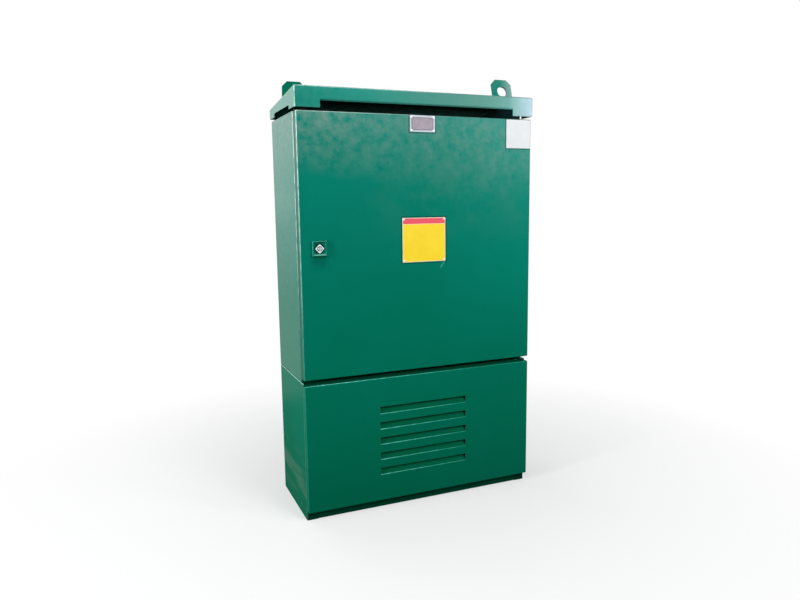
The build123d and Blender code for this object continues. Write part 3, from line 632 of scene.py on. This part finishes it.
def floor_paint():
    """Pale floor, white where the camera or a mirror sees it far from the object."""
    ground = Finish("floor_paint")
    shadow_near, shadow_far = 0.4, 1.6
    behind_near, behind_far = 1.1, 1.4
    mirror_near, mirror_far = 1.5, 14.0
    path = ground.add("ShaderNodeLightPath")
    seen = path.outputs["Is Camera Ray"]
    mirrored = ground.larger(path.outputs["Is Glossy Ray"], path.outputs["Is Transmission Ray"])
    pale = ground.mix(ground.ramp(ground.noise(3.0), 0.3, 0.7), srgb(247, 247, 247), srgb(245, 245, 245))
    ground.colour(ground.mix(seen, (0.12, 0.13, 0.1), pale))
    ground.set(Roughness=0.9, Specular_IOR_Level=0.1)
    length = ground.add("ShaderNodeVectorMath", operation="LENGTH")
    ground.link(ground.place, length.inputs[0])
    away = length.outputs["Value"]
    behind = ground.ramp(ground.axis("Y"), behind_near, behind_far)
    seen_white = ground.product(ground.ramp(away, shadow_near, shadow_far, 0.45, 1.0), seen)
    mirrored_white = ground.product(mirrored, behind, ground.ramp(away, mirror_near, mirror_far, 0.35, 0.65))
    glow = ground.add("ShaderNodeEmission")
    backdrop = ground.add("ShaderNodeMixShader")
    ground.link(ground.larger(seen_white, mirrored_white), backdrop.inputs["Fac"])
    ground.link(ground.shader.outputs["BSDF"], backdrop.inputs[1])
    ground.link(glow.outputs["Emission"], backdrop.inputs[2])
    ground.link(backdrop.outputs["Shader"], ground.out.inputs["Surface"])
    return ground.material


def white_world(soft_level):
    """World that is white to the camera and to mirrors, and a soft light to all else."""
    world = bpy.data.worlds.new("studio")
    world.use_nodes = True
    tree = world.node_tree
    tree.nodes.clear()
    out = tree.nodes.new("ShaderNodeOutputWorld")
    path = tree.nodes.new("ShaderNodeLightPath")
    blend = tree.nodes.new("ShaderNodeMixShader")
    shown = path.outputs["Is Camera Ray"]
    for ray in ("Is Glossy Ray", "Is Transmission Ray"):
        larger = tree.nodes.new("ShaderNodeMath")
        larger.operation = "MAXIMUM"
        tree.links.new(shown, larger.inputs[0])
        tree.links.new(path.outputs[ray], larger.inputs[1])
        shown = larger.outputs["Value"]
    tree.links.new(shown, blend.inputs["Fac"])
    for place, colour, level in ((1, (0.95, 1.0, 1.0), soft_level), (2, (1.0, 1.0, 1.0), 1.0)):
        sky = tree.nodes.new("ShaderNodeBackground")
        sky.inputs["Color"].default_value = (*colour, 1.0)
        sky.inputs["Strength"].default_value = level
        tree.links.new(sky.outputs["Background"], blend.inputs[place])
    tree.links.new(blend.outputs["Shader"], out.inputs["Surface"])
    return world


def softbox(name, place, target, size, power, tint=(1.0, 1.0, 1.0)):
    """Soft lamp that faces a point, in metres and watts."""
    data = bpy.data.lights.new(name, "AREA")
    data.shape = "RECTANGLE"
    data.size, data.size_y = size
    data.energy = power
    data.color = tint
    lamp = bpy.data.objects.new(name, data)
    scene.collection.objects.link(lamp)
    lamp.location = place
    lamp.rotation_mode = "QUATERNION"
    lamp.rotation_quaternion = (Vector(target) - Vector(place)).to_track_quat("-Z", "Y")
    lamp.visible_camera = False
    return lamp


floor_half = 60.0
floor_mesh = bpy.data.meshes.new("floor")
corners = [(x * floor_half, y * floor_half, 0.0) for x, y in ((-1, -1), (1, -1), (1, 1), (-1, 1))]
floor_mesh.from_pydata(corners, [], [(0, 1, 2, 3)])
floor_mesh.materials.append(floor_paint())
floor = bpy.data.objects.new("floor", floor_mesh)
scene.collection.objects.link(floor)

scene.world = white_world(0.22)
softbox("key_light", (0.5, -2.4, 2.2), (0.0, -0.1, 0.9), (0.9, 0.7), 28.5)
softbox("haze_light", (1.7, -3.0, 2.3), (0.0, 0.0, 1.0), (2.4, 1.6), 32.0, (0.94, 1.0, 1.0))
softbox("flare_light", (2.4, -2.8, 1.75), (0.3, -0.1, 1.25), (0.6, 0.6), 25.0, (1.0, 0.88, 0.96))
softbox("edge_light", (-3.0, -0.9, 1.1), (0.0, -0.1, 0.9), (0.12, 2.2), 40.0)
softbox("fill_light", (-3.2, -0.6, 1.0), (-0.3, 0.0, 0.7), (2.0, 1.8), 52.0)
back_light = softbox("back_light", (-1.5, 3.2, 1.75), (-0.3, 0.0, 1.0), (3.0, 2.6), 46.0)
back_light.visible_glossy = False

# Camera at the photograph's viewing angle, in metres and degrees
image_width = 800
focal_pixels = 675.10
camera_place = (-0.9024, -2.1175, 0.9871)
heading, pitch, roll = 22.7596, -8.0548, -0.7465

camera_data = bpy.data.cameras.new("camera")
camera_data.lens = focal_pixels * camera_data.sensor_width / image_width
camera = bpy.data.objects.new("camera", camera_data)
scene.collection.objects.link(camera)
placing = Matrix.Translation(camera_place)
for angle, axis in ((-heading, "Z"), (90 + pitch, "X"), (roll, "Z")):
    placing = placing @ Matrix.Rotation(math.radians(angle), 4, axis)
camera.matrix_world = placing
scene.camera = camera
scene.view_settings.view_transform = "Standard"
